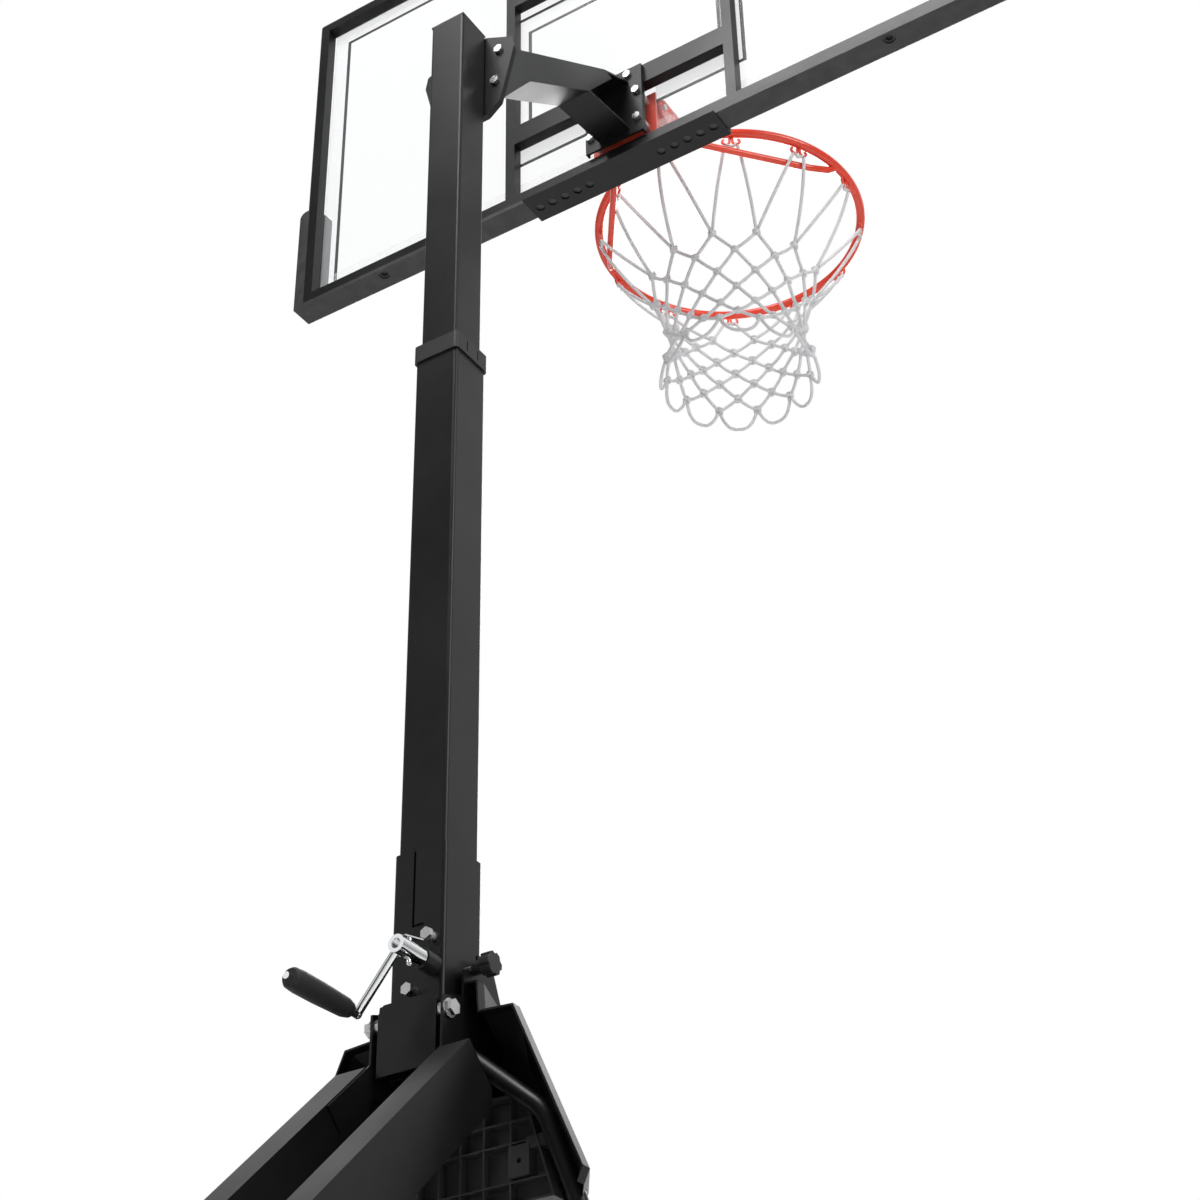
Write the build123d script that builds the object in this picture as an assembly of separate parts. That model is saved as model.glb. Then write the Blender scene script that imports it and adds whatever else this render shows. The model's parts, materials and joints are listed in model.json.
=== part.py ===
from build123d import *
import math
import os

os.makedirs("parts", exist_ok=True)

# Portable basketball hoop on a ballast tank, in millimetres.
# Origin: on the floor, under the axis of the pole.  +Z up, the court is at -Y, +X to the right
# of somebody who stands on the court and looks at the board.

# ---- driving dimensions ----------------------------------------------------------------------
RIM_HEIGHT = 3048.0            # plane of the ring above the floor (10 ft)
RING_BORE = 457.0              # inside diameter of the ring (18 in)
RING_ROD = 16.0                # rod that the ring is bent from
RING_RADIUS = (RING_BORE + RING_ROD) / 2
REACH = 838.5                  # pole axis to the centre of the ring
FRONT = REACH + RING_RADIUS + RING_ROD / 2     # how far the ring stands forward of the pole axis

LOWER_TUBE = 66.0              # outside of the fixed pole section
UPPER_TUBE = 57.0              # outside of the telescoping section
TUBE_WALL = 2.0
SLEEVE = 72.0                  # outside of the base sleeve, 3 mm wall
SLEEVE_BOTTOM = 1133.4
SLEEVE_TOP = 1405.0
COLLAR_BOTTOM, COLLAR_TOP = 2136.0, 2163.0
POLE_TOP = 2781.5
NUT_Z = 1922.0                 # lowest face of the lift nut, rim at full height

PIVOT_Y, PIVOT_Z = 41.0, 1196.0                # axis on which the pole folds back
LOCK_Y, LOCK_Z = -6.0, 1260.0                  # clamp bolt that holds the pole upright
SCREW_Y = 14.0                                 # lead screw axis, behind the clamp bolt
CRANK_X, CRANK_Z = -22.5, 1255.0               # crank shaft axis, parallel to Y
GRIP_X, GRIP_Z = 31.5, 1189.0                  # grip axis, parallel to Y

WALL_IN, WALL_OUT = 45.5, 48.5                 # side walls of the cradle
STRUT_OUT = 88.5                               # struts run from WALL_OUT to here
STRUT_TOP_LINE, STRUT_LOW_LINE = 1204.0, 1096.5    # y + z on the upper and lower strut faces

TANK_HALF = 400.0
TANK_FRONT, TANK_REAR = -232.0, FRONT
TANK_TOP = 150.0
TANK_WALL = 4.0
CAP_X, CAP_Y = 270.0, 480.0                    # filler neck
AXLE_Y, AXLE_Z = -247.0, 54.0
WHEEL_R = 50.0

BOARD_BACK = -451.0                            # rear face of the board frame
BAR = 18.0                                     # width of the frame bars
BAR_DEPTH = 20.0
BOARD_HALF = 663.0
BOARD_LOW, BOARD_HIGH = 2909.0, 3623.0
UPRIGHT_IN = 208.0
ACRYLIC = 5.0
ACRYLIC_BACK = BOARD_BACK - BAR_DEPTH
ACRYLIC_FRONT = ACRYLIC_BACK - ACRYLIC
HINGE_Y, HINGE_Z = -497.0, 3022.0              # breakaway hinge of the ring


# ---- helpers ---------------------------------------------------------------------------------
def block(x, y, z):
    """Box between two limits on each axis."""
    size = Box(x[1] - x[0], y[1] - y[0], z[1] - z[0])
    return Pos((x[0] + x[1]) / 2, (y[0] + y[1]) / 2, (z[0] + z[1]) / 2) * size


def rounded_block(x, y, z, corner):
    """Box with rounded upright edges."""
    return fillet(block(x, y, z).edges().filter_by(Axis.Z), corner)


def rod(start, end, radius):
    """Round bar between two points."""
    start, end = Vector(*start), Vector(*end)
    along = end - start
    bar = Cylinder(radius, along.length, align=(Align.CENTER, Align.CENTER, Align.MIN))
    return Plane(origin=start, z_dir=along) * bar


def sheet_x(outline, x):
    """Flat plate square to X from a (y, z) outline."""
    face = Plane.YZ.offset(x[0]) * Polygon(*outline, align=None)
    return extrude(face, x[1] - x[0], dir=(1, 0, 0))


def sheet_y(outline, y):
    """Flat plate square to Y from an (x, z) outline."""
    face = Plane.XZ.offset(-y[0]) * Polygon(*outline, align=None)
    return extrude(face, y[1] - y[0], dir=(0, 1, 0))


def square_tube(outside, wall, z, corner=4.0):
    """Upright square tube with rounded corners."""
    inside = outside - 2 * wall
    section = RectangleRounded(outside, outside, corner)
    section -= RectangleRounded(inside, inside, max(corner - wall, 0.6))
    return Pos(0, 0, z[0]) * extrude(section, z[1] - z[0])


def hex_bolt(seat, along, diameter, length):
    """Hex bolt: the head sits on seat, the shank runs along."""
    plane = Plane(origin=seat, z_dir=along)
    head = extrude(plane * RegularPolygon(0.94 * diameter, 6), -0.65 * diameter)
    shank = Cylinder(diameter / 2, length, align=(Align.CENTER, Align.CENTER, Align.MIN))
    return head + plane * shank


def hex_nut(seat, along, diameter, bore_gap=0.06):
    """Hex nut that sits on seat and stands out along."""
    plane = Plane(origin=seat, z_dir=along)
    body = extrude(plane * RegularPolygon(0.94 * diameter, 6), 0.8 * diameter)
    bore = Cylinder(diameter / 2 + bore_gap, 4 * diameter)
    return body - plane * bore


def bore(centre, along, radius, depth):
    """Cylinder to cut, centred on a point."""
    return Plane(origin=centre, z_dir=along) * Cylinder(radius, depth)


def ring(centre, along, outer, inner, width):
    """Plain ring or bush that starts at centre and runs along."""
    plane = Plane(origin=centre, z_dir=along)
    bottom = (Align.CENTER, Align.CENTER, Align.MIN)
    body = plane * Cylinder(outer, width, align=bottom)
    return body - plane * Cylinder(inner, width, align=bottom)


def both_sides(shape):
    """A piece and its mirror image across the middle plane, as separate solids."""
    return [shape, mirror(shape, about=Plane.YZ)]


X, Y, Z = (1, 0, 0), (0, 1, 0), (0, 0, 1)
PARTS = {}


def add(name, *shapes):
    """Keep a sub-part: one shape, or a group of separate solids."""
    solids = []
    for shape in shapes:
        solids += list(shape.solids())
    PARTS[name] = solids[0] if len(solids) == 1 else Compound(children=solids)


# ---- base: ballast tank, front beam, wheels ----------------------------------------------------
def tank():
    middle_y = (TANK_FRONT + TANK_REAR) / 2
    length = TANK_REAR - TANK_FRONT
    grooves = []
    inner_grooves = []
    for y in range(-60, 900, 150):
        for x in (-1, 1):
            centre = Pos(x * 245, y, TANK_TOP)
            if abs(x * 245 - CAP_X) > 60 or abs(y - CAP_Y) > 75:
                grooves.append(centre * Box(190, 26, 16))
                inner_grooves.append(centre * Box(198, 34, 24))
    shell = extrude(Pos(0, middle_y) * RectangleRounded(2 * TANK_HALF, length, 70), TANK_TOP)
    shell = fillet(shell.faces().sort_by(Axis.Z)[-1].edges(), 16)
    shell += Pos(CAP_X, CAP_Y, TANK_TOP - 2) * Cylinder(32, 12, align=(Align.CENTER, Align.CENTER, Align.MIN))
    shell -= grooves
    inset = 2 * TANK_WALL
    outline = RectangleRounded(2 * TANK_HALF - inset, length - inset, 66)
    cavity = Pos(0, middle_y, TANK_WALL) * extrude(outline, TANK_TOP - inset)
    cavity = fillet(cavity.faces().sort_by(Axis.Z)[-1].edges(), 13)
    cavity -= inner_grooves
    shell -= cavity
    for x in BEAM_BOLT_X:
        shell -= bore((x, TANK_FRONT, BEAM_BOLT_Z), Y, 4.1, 20)
    for x, y in FOOT_SCREWS:
        for side in (-1, 1):
            shell -= bore((side * x, y, TANK_TOP), Z, 4.1, 20)
    return shell - bore((CAP_X, CAP_Y, TANK_TOP), Z, 20, 60)


def fill_cap():
    lid_z = TANK_TOP + 10.2
    cap = ring((CAP_X, CAP_Y, lid_z - 26), Z, 19.7, 15, 26)
    cap += Pos(CAP_X, CAP_Y, lid_z + 6) * Cylinder(30, 12)
    cap -= bore((CAP_X, CAP_Y, lid_z), Z, 15, 12)
    for k in range(12):
        cap -= Pos(CAP_X, CAP_Y, lid_z + 6) * Rot(0, 0, 30 * k) * Pos(31, 0, 0) * Cylinder(3, 12)
    return cap


BEAM = 30.0                                    # square front beam
BEAM_LOW, BEAM_HIGH = 88.0, 118.0
BEAM_END = 418.0
BEAM_BOLT_X = (-300.0, -110.0, 110.0, 300.0)
BEAM_BOLT_Z = 103.0


def front_beam():
    face = TANK_FRONT - BEAM
    beam = block((-BEAM_END, BEAM_END), (face, TANK_FRONT), (BEAM_LOW, BEAM_HIGH))
    beam -= block((-BEAM_END, BEAM_END), (face + 2, TANK_FRONT - 2), (BEAM_LOW + 2, BEAM_HIGH - 2))
    for x in BEAM_BOLT_X:
        beam -= bore((x, face, BEAM_BOLT_Z), Y, 4.2, 90)
    return beam


def wheel_bracket():
    """End plate of the beam with its stub axle, on the +X side."""
    outline = [(-272, 40), (-222, 40), (-222, 96), (-232, 126), (-262, 126), (-272, 110)]
    plate = sheet_x(outline, (BEAM_END, BEAM_END + 5))
    return plate + rod((BEAM_END, AXLE_Y, AXLE_Z), (BEAM_END + 56, AXLE_Y, AXLE_Z), 6)


def wheel_hub(side):
    start = side * (BEAM_END + 9)
    hub = ring((start, AXLE_Y, AXLE_Z), (side, 0, 0), 38, 6.06, 34)
    for face in (start, start + side * 34):
        hub -= ring((face - 9, AXLE_Y, AXLE_Z), X, 33, 14, 18)
    for k in range(6):
        turn = Pos(0, AXLE_Y, AXLE_Z) * Rot(60 * k, 0, 0)
        hub -= turn * Pos(start, 23.5, 0) * Rot(0, 90, 0) * Cylinder(6, 90)
    return hub


def wheel_tyre(side):
    start = side * (BEAM_END + 9)
    tyre = ring((start, AXLE_Y, AXLE_Z), (side, 0, 0), WHEEL_R, 38.05, 34)
    return fillet(tyre.edges().sort_by(lambda e: -e.length)[:2], 7)


def axle_cap(side):
    return ring((side * (BEAM_END + 44), AXLE_Y, AXLE_Z), (side, 0, 0), 12, 6.03, 10)


# ---- base: cradle, shield, legs, panel, struts -------------------------------------------------
def cradle():
    """Bent steel channel that holds the foot of the pole: front web and two side walls."""
    stop_y = -SLEEVE / 2 - 3.5
    wall = [(-69, 1112), (46, 1112), (98, 1060), (120, 1082), (52, 1150), (52, 1208), (14, 1221),
            (14, 1252), (LOCK_Y + 3.6, LOCK_Z - 4.8), (LOCK_Y - 5.6, LOCK_Z), (LOCK_Y - 5.6, 1278),
            (stop_y - 3, 1284), (stop_y - 3, 1267), (-69, 1206)]
    web = [(-69, 1112), (-66, 1112), (-66, 1206), (stop_y, 1267), (stop_y, 1284), (stop_y - 3, 1284),
           (stop_y - 3, 1267), (-69, 1206)]
    body = sheet_x(web, (-WALL_OUT, WALL_OUT))
    for side in both_sides(sheet_x(wall, (WALL_IN, WALL_OUT))):
        body += side
    body -= bore((0, PIVOT_Y, PIVOT_Z), X, 5.06, 200)
    body -= bore((0, LOCK_Y, LOCK_Z), X, 5.6, 200)
    return body


SHIELD_BACK, SHIELD_FRONT = 14.0, -62.0
SHIELD_WALL = 2.4
RIM_PLANE = 1.0


def shield():
    """Stepped steel cover beside the cradle: a straight rim at the back, drawn in towards the front."""
    rear = [(WALL_OUT, 1237), (66, 1235), (69, 1199), (113, 1196), (199, 999), (190, 980), (WALL_OUT, 980)]
    front = [(WALL_OUT, 1210), (58, 1208), (61, 1165), (86, 1160), (157, 1000), (150, 980), (WALL_OUT, 980)]
    rear_in = [(47, 1234.6), (63.8, 1232.7), (66.8, 1196.8), (111.4, 1193.6), (196.4, 998.7), (188, 972),
               (47, 972)]
    front_in = [(47, 1207.6), (55.8, 1205.7), (58.8, 1162.8), (84.4, 1157.6), (154.4, 999.7), (148, 972),
                (47, 972)]
    cover = drawn(rear, RIM_PLANE, front, SHIELD_FRONT) + sheet_y(rear, (RIM_PLANE, SHIELD_BACK))
    cover -= drawn(rear_in, RIM_PLANE, front_in, SHIELD_FRONT + SHIELD_WALL)
    cover -= sheet_y(rear_in, (RIM_PLANE - 0.1, SHIELD_BACK + 1))
    return cover - rod(LEG_BEND, (LEG_FOOT[0], LEG_FOOT[1], LEG_FOOT[2]), LEG_R + 1)


def drawn(rear, rear_y, front, front_y):
    """Solid between an (x, z) outline at the rear and another one further forward."""
    faces = []
    for outline, y in ((rear, rear_y), (front, front_y)):
        faces.append(Plane.XZ.offset(-y) * Polygon(*outline, align=None))
    return loft(faces, ruled=True)


LEG_R = 10.0
LEG_TOP, LEG_BEND = (44.0, 0.0, 1158.0), (144.0, 0.0, 1073.0)
LEG_FOOT = (404.0, -247.0, BEAM_HIGH)


def leg():
    """Bent round tube from the cradle wall to the front beam, on the +X side."""
    path = FilletPolyline(LEG_TOP, LEG_BEND, LEG_FOOT[:2] + (BEAM_HIGH - 14,), radius=45)
    start = Plane(origin=LEG_TOP, z_dir=Vector(*LEG_BEND) - Vector(*LEG_TOP))
    section = start * (Circle(LEG_R) - Circle(LEG_R - 2))
    tube = sweep(section, path=path)
    tube -= block((0, WALL_OUT), (-50, 50), (1100, 1200))
    return tube - block((300, 500), (-300, -200), (0, BEAM_HIGH))


PANEL_TOP, PANEL_LOW = 1106.0, 985.0
PANEL_TOP_HALF, PANEL_LOW_HALF = 110.0, 148.0
PANEL_BACK, PANEL_SKIN, PANEL_FACE = -11.0, -26.0, -29.0


def front_panel():
    """Moulded panel between the legs: smooth front, ribbed back."""
    def outline(inset):
        return [(-PANEL_TOP_HALF + inset, PANEL_TOP - inset), (PANEL_TOP_HALF - inset, PANEL_TOP - inset),
                (PANEL_LOW_HALF - inset, PANEL_LOW + inset), (-PANEL_LOW_HALF + inset, PANEL_LOW + inset)]
    panel = sheet_y(outline(0), (PANEL_FACE, PANEL_BACK)) - sheet_y(outline(2.5), (PANEL_SKIN, PANEL_BACK))
    grid = Part()
    for x in (-92, -58, -28, 0, 28, 58, 92):
        grid += block((x - 1, x + 1), (PANEL_SKIN, PANEL_BACK - 2), (PANEL_LOW, PANEL_TOP))
    for z in (1010, 1052, 1076):
        grid += block((-150, 150), (PANEL_SKIN, PANEL_BACK - 2), (z - 1, z + 1))
    panel += grid & sheet_y(outline(1), (PANEL_SKIN, PANEL_BACK))
    for x in (-1, 1):
        panel += block((x * 104 - 13, x * 104 + 13), (PANEL_SKIN, PANEL_BACK), (1014, 1048))
        panel -= bore((x * 104, PANEL_BACK, 1031), Y, 3, 18)
        panel += block(sorted((x * 112, x * 150)), (PANEL_FACE, -13), (1042, 1056))
        panel -= rod((x * LEG_BEND[0], LEG_BEND[1], LEG_BEND[2]), (x * LEG_FOOT[0], LEG_FOOT[1], LEG_FOOT[2]),
                     LEG_R + 0.1)
    return panel


def strut():
    """Rectangular tube from the cradle down to the back of the tank, on the +X side."""
    foot_z = TANK_TOP + 4
    top, low = STRUT_TOP_LINE, STRUT_LOW_LINE
    start_y = SHIELD_BACK + 2
    outline = [(58, top - 58), (start_y, top - 58 - (58 - start_y)), (start_y, low - start_y),
               (low - foot_z, foot_z), (top - foot_z, foot_z)]
    bar = sheet_x(outline, (WALL_OUT, STRUT_OUT))
    slope = 2 * math.sqrt(2)
    inner = [(-60, top - slope + 60), (-60, low + slope + 60), (low + slope - 100, 100),
             (top - slope - 100, 100)]
    bar -= sheet_x(inner, (WALL_OUT + 2, STRUT_OUT - 2))
    for y, z in (FOOT_BOLT, BRACE_BOLT):
        bar -= bore((WALL_OUT, y, z), X, 4.2, 120)
    return bar


FOOT_BOLT = (958.0, 192.0)
BRACE_BOLT = (560.0, 590.0)


def strut_foot():
    """Bracket that bolts a strut to the tank, on the +X side."""
    plate = block((20, 117), (925, 1062), (TANK_TOP, TANK_TOP + 4))
    ear = [(928, TANK_TOP + 4), (1040, TANK_TOP + 4), (990, 214), (935, 214)]
    foot = plate + sheet_x(ear, (WALL_OUT - 4, WALL_OUT)) + sheet_x(ear, (STRUT_OUT, STRUT_OUT + 4))
    foot -= bore((WALL_OUT, FOOT_BOLT[0], FOOT_BOLT[1]), X, 4.2, 120)
    for x, y in FOOT_SCREWS:
        foot -= bore((x, y, TANK_TOP), Z, 4.2, 30)
    return foot


FOOT_SCREWS = [(31, 938), (31, 1049), (106, 938), (106, 1049)]


def strut_brace():
    """Spacer tube between the two struts."""
    y, z = BRACE_BOLT
    return ring((-WALL_OUT, y, z), X, 12, 4.2, 2 * WALL_OUT)


def base_bolts():
    bolts = []
    for x in BEAM_BOLT_X:
        bolts.append(hex_bolt((x, TANK_FRONT - BEAM, BEAM_BOLT_Z), Y, 8, BEAM + 12))
    for side in (-1, 1):
        outward = (-side, 0, 0)
        y, z = FOOT_BOLT
        bolts.append(hex_bolt((side * (STRUT_OUT + 4), y, z), outward, 8, 52))
        bolts.append(hex_nut((side * (WALL_OUT - 4), y, z), outward, 8))
        for x, y in FOOT_SCREWS:
            bolts.append(hex_bolt((side * x, y, TANK_TOP + 4), (0, 0, -1), 8, 14))
        bolts.append(axle_cap(side))
    y, z = BRACE_BOLT
    bolts.append(hex_bolt((STRUT_OUT, y, z), (-1, 0, 0), 8, 2 * STRUT_OUT + 10))
    bolts.append(hex_nut((-STRUT_OUT, y, z), (-1, 0, 0), 8))
    return bolts


def pivot_hardware():
    """Nut, two washers outside the walls and two nylon bushes inside them."""
    side = (WALL_OUT + 2.2, PIVOT_Y, PIVOT_Z)
    pieces = [hex_nut(side, X, 10)]
    for sign in (-1, 1):
        pieces.append(ring((sign * WALL_OUT, PIVOT_Y, PIVOT_Z), (sign, 0, 0), 11, 5.1, 2.2))
        pieces.append(ring((sign * 39.4, PIVOT_Y, PIVOT_Z), (sign, 0, 0), 9, 5.1, WALL_IN - 39.4))
    return pieces


# ---- folding pole: sleeve, lower tube, gearbox -------------------------------------------------
GEAR_LOW, GEAR_HIGH = 1246.0, 1264.0
SCREW_GEAR_R, CRANK_GEAR_R = 12.45, 9.2
GEARBOX_BOLTS = [(-22.5, 1288.0), (2.0, 1228.0)]
SLEEVE_BACK = SLEEVE / 2


def pole_sleeve():
    sleeve = square_tube(SLEEVE, 3, (SLEEVE_BOTTOM, SLEEVE_TOP), 5)
    slit_low = 1311.0
    sleeve -= block((5, 8), (30, 40), (slit_low, SLEEVE_TOP))
    sleeve -= block((-8, 8), (30, 40), (slit_low - 3, slit_low))
    sleeve -= bore((CRANK_X, SLEEVE_BACK, CRANK_Z), Y, 7, 20)
    sleeve -= bore((0, LOCK_Y, LOCK_Z), X, 4.3, 200)
    for x, z in GEARBOX_BOLTS:
        sleeve -= bore((x, SLEEVE_BACK, z), Y, 4.2, 20)
    return sleeve


def foot_wrap():
    """Steel stirrup welded around the sleeve's foot, which carries the pivot bolt."""
    back = [(-39, SLEEVE_BOTTOM), (39, SLEEVE_BOTTOM), (39, 1206), (32, 1216), (-32, 1216), (-39, 1206)]
    wrap = sheet_y(back, (48, 51))
    side = [(-30, SLEEVE_BOTTOM), (49, SLEEVE_BOTTOM), (49, 1208), (-10, 1208), (-30, 1190)]
    for cheek in both_sides(sheet_x(side, (SLEEVE / 2, 39))):
        wrap += cheek
    return wrap - bore((0, PIVOT_Y, PIVOT_Z), X, 5.08, 200)


def gearbox_housing():
    body = rounded_block((-32.9, 32.9), (-1.5, 32.9), (1216, 1296), 3)
    body -= Pos(0, SCREW_Y, 1230) * Cylinder(12.95, 38, align=(Align.CENTER, Align.CENTER, Align.MIN))
    body -= bore((0, SCREW_Y, 1256), Z, 7.06, 100)
    body -= rod((CRANK_X, 3.4, CRANK_Z), (CRANK_X, 24.6, CRANK_Z), 9.7)
    body -= rod((CRANK_X, 0.9, CRANK_Z), (CRANK_X, 40, CRANK_Z), 6.06)
    body -= block((6, 40), (6, 40), (1270, 1300))
    for x, z in GEARBOX_BOLTS:
        body -= rod((x, 27.8, z), (x, 40, z), 4.06)
    return body


def gearbox_bolts():
    pieces = []
    for x, z in GEARBOX_BOLTS:
        pieces.append(hex_bolt((x, 47, z), (0, -1, 0), 8, 19))
        pieces.append(ring((x, SLEEVE_BACK, z), Y, 6.5, 4.2, 47 - SLEEVE_BACK))
    return pieces


def collar():
    """Moulded cap on the lower tube, which guides the upper tube."""
    outside = 71.0
    shape = square_tube(outside, 2.5, (COLLAR_BOTTOM, COLLAR_TOP), 6)
    lip = square_tube(outside, (outside - UPPER_TUBE) / 2 - 0.3, (COLLAR_TOP - 4, COLLAR_TOP), 6)
    shape += lip
    for y in (-12, 12):
        shape -= block((-36, -34), (y - 1, y + 1), (COLLAR_BOTTOM + 6, COLLAR_TOP - 5))
    return shape


def lower_tube():
    tube = square_tube(LOWER_TUBE, TUBE_WALL, (1300, COLLAR_TOP - 4), 5)
    return tube


def thrust_bearing():
    return ring((0, SCREW_Y, 1231), Z, 12.75, 7.1, 14)


def lock_knob():
    """Lobed knob on the -X side."""
    knob = rod((-76, LOCK_Y, LOCK_Z), (-63, LOCK_Y, LOCK_Z), 14)
    for k in range(6):
        angle = math.radians(60 * k + 30)
        y, z = LOCK_Y + 16.5 * math.cos(angle), LOCK_Z + 16.5 * math.sin(angle)
        knob -= rod((-80, y, z), (-60, y, z), 4.5)
    knob = fillet(knob.faces().sort_by(Axis.X)[0].edges(), 1.5)
    knob += rod((-63, LOCK_Y, LOCK_Z), (-49, LOCK_Y, LOCK_Z), 8)
    return knob - rod((-74, LOCK_Y, LOCK_Z), (-40, LOCK_Y, LOCK_Z), 4.02)


# ---- lift: screw, crank, grip ------------------------------------------------------------------
def skew_gear(tip, width, teeth, bore_radius):
    """Small gear with teeth at 45 degrees, centred on the origin, axis Z."""
    root = tip - 2.2
    tooth_turn = 45
    gear = Cylinder(root, width)
    for k in range(teeth):
        turn = Rot(0, 0, 360 / teeth * k)
        gear += turn * Pos(root, 0, 0) * Rot(tooth_turn, 0, 0) * Box(5, 2.2, 3 * width)
    gear &= Cylinder(tip, width)
    return gear - Cylinder(bore_radius, 2 * width)


SCREW_TOP = 1990.0


def lead_screw():
    screw = rod((0, SCREW_Y, 1297), (0, SCREW_Y, SCREW_TOP), 9)
    return screw + rod((0, SCREW_Y, 1217), (0, SCREW_Y, 1297), 7)


def screw_gear():
    middle = (GEAR_LOW + GEAR_HIGH) / 2
    return Pos(0, SCREW_Y, middle) * skew_gear(SCREW_GEAR_R, GEAR_HIGH - GEAR_LOW, 12, 7.02)


HUB = (60.0, 104.0)
PIN_Y = 80.0


def crank_shaft():
    """Input shaft with its pinion."""
    shaft = rod((CRANK_X, 1.2, CRANK_Z), (CRANK_X, 98, CRANK_Z), 6)
    pinion = Pos(CRANK_X, SCREW_Y, CRANK_Z) * Rot(90, 0, 0) * skew_gear(CRANK_GEAR_R, 18, 9, 1.0)
    shaft += pinion
    return shaft - bore((CRANK_X, PIN_Y, CRANK_Z), Z, 2.55, 40)


def crank_handle():
    """Hub, bent rod and grip spindle in one welded piece."""
    hub = ring((CRANK_X, HUB[0], CRANK_Z), Y, 10.5, 6.03, HUB[1] - HUB[0])
    arm_y = 97.0
    reach = Vector(GRIP_X - CRANK_X, 0, GRIP_Z - CRANK_Z)
    start = Vector(CRANK_X, arm_y, CRANK_Z) + reach.normalized() * 7.5
    handle = hub + rod(tuple(start), (GRIP_X, arm_y, GRIP_Z), 5)
    handle += Pos(GRIP_X, arm_y, GRIP_Z) * Sphere(5.6)
    handle += rod((GRIP_X, arm_y, GRIP_Z), (GRIP_X, 110, GRIP_Z), 5)
    handle += rod((GRIP_X, 108, GRIP_Z), (GRIP_X, 217, GRIP_Z), 4)
    return handle - bore((CRANK_X, PIN_Y, CRANK_Z), Z, 2.55, 40)


def release_pin():
    pin = rod((CRANK_X, PIN_Y, CRANK_Z - 14), (CRANK_X, PIN_Y, CRANK_Z + 16), 2.5)
    pin += Pos(CRANK_X, PIN_Y - 4, CRANK_Z + 17) * Rot(-12, 0, 0) * Box(7, 34, 1.6)
    return pin + Pos(CRANK_X, PIN_Y, CRANK_Z - 14) * Rot(0, 90, 0) * Torus(3.2, 1)


def grip():
    profile = [(4.06, 111), (9.0, 111), (11.2, 120), (12.8, 165), (13.0, 196), (12.0, 208), (10.0, 211),
               (7.5, 211), (4.06, 211)]
    face = make_face(Polyline(*[(r, 0, y) for r, y in profile], close=True))
    body = revolve(face, Axis.Z)
    return Pos(GRIP_X, 0, GRIP_Z) * Rot(-90, 0, 0) * body


# ---- upper pole and arm ------------------------------------------------------------------------
def lift_nut():
    half = UPPER_TUBE / 2
    nut = rounded_block((-26.3, 26.3), (-26.3, 26.3), (NUT_Z + 8, NUT_Z + 38), 2.5)
    nut += block((-half + 0.2, half - 0.2), (-half + 0.2, half - 0.2), (NUT_Z, NUT_Z + 8))
    return nut - bore((0, SCREW_Y, NUT_Z), Z, 9.08, 200)


def glide_pads():
    pads = []
    half = UPPER_TUBE / 2
    for k in range(4):
        pad = block((-18, 18), (half, half + 2.2), (NUT_Z + 14, NUT_Z + 84))
        pads.append(Rot(0, 0, 90 * k) * pad)
    return pads


EAR = [(34, 2618), (56, 2636), (80, 2735), (76, 2756), (30, 2780)]
ARM_BOLTS = [(54, 2740), (48, 2678)]
ARM_HALF = 30.0
EAR_BACK = -UPPER_TUBE / 2


def ear_outline(inset):
    right = [(x - inset, z) for x, z in EAR]
    left = [(-x, z) for x, z in reversed(right)]
    return right + left


def clamp_plate():
    plate = sheet_y(ear_outline(0), (EAR_BACK - 5, EAR_BACK))
    for x, z in ARM_BOLTS:
        for side in (-1, 1):
            plate -= bore((side * x, EAR_BACK, z), Y, 4.2, 30)
    return plate


MOUNT_BACK, MOUNT_FACE = -441.0, -445.0        # rear and front face of the board mount plate
MOUNT_HALF = 56.0
MOUNT_LOW, MOUNT_HIGH = 2931.0, 3086.0
RIM_BOLTS = [(46.0, 3025.0), (46.0, 2963.0)]
BAR_BOLTS = [(30.0, 3071.0)]


def extension_arm():
    """Welded box arm: flange on the pole, two side plates, top and bottom plates."""
    base = EAR_BACK - 5
    side = [(base - 4, 2640), (base - 4, 2778), (-366, 3018), (-389, 3017), (-316, 2923),
            (-146, 2793), (-67, 2684)]
    arm = sheet_y(ear_outline(2), (base - 5, base))
    for plate in both_sides(sheet_x(side, (ARM_HALF - 4, ARM_HALF))):
        arm += plate
    bottom = [(-67, 2684), (-146, 2793), (-316, 2923), (MOUNT_BACK, 2946), (MOUNT_BACK, 2950),
              (-315, 2927.4), (-143.4, 2796), (-64, 2687)]
    top = [(base - 4, 2778), (-366, 3018), (MOUNT_BACK, 3058), (MOUNT_BACK, 3054), (-366, 3013.6),
           (base - 4, 2773)]
    arm += sheet_x(bottom, (-ARM_HALF, ARM_HALF))
    arm += sheet_x(top, (-ARM_HALF, ARM_HALF))
    for x, z in ARM_BOLTS:
        for sign in (-1, 1):
            arm -= bore((sign * x, base, z), Y, 4.2, 30)
    return arm


def mount_plate():
    plate = block((-MOUNT_HALF, MOUNT_HALF), (MOUNT_FACE, MOUNT_BACK), (MOUNT_LOW, MOUNT_HIGH))
    lip = block((MOUNT_HALF - 3, MOUNT_HALF), (BOARD_BACK, MOUNT_FACE), (MOUNT_LOW, MOUNT_HIGH))
    for flange in both_sides(lip):
        plate += flange
    for x, z in RIM_BOLTS + BAR_BOLTS:
        for sign in (-1, 1):
            plate -= bore((sign * x, MOUNT_BACK, z), Y, 4.3, 30)
    return plate


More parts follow.
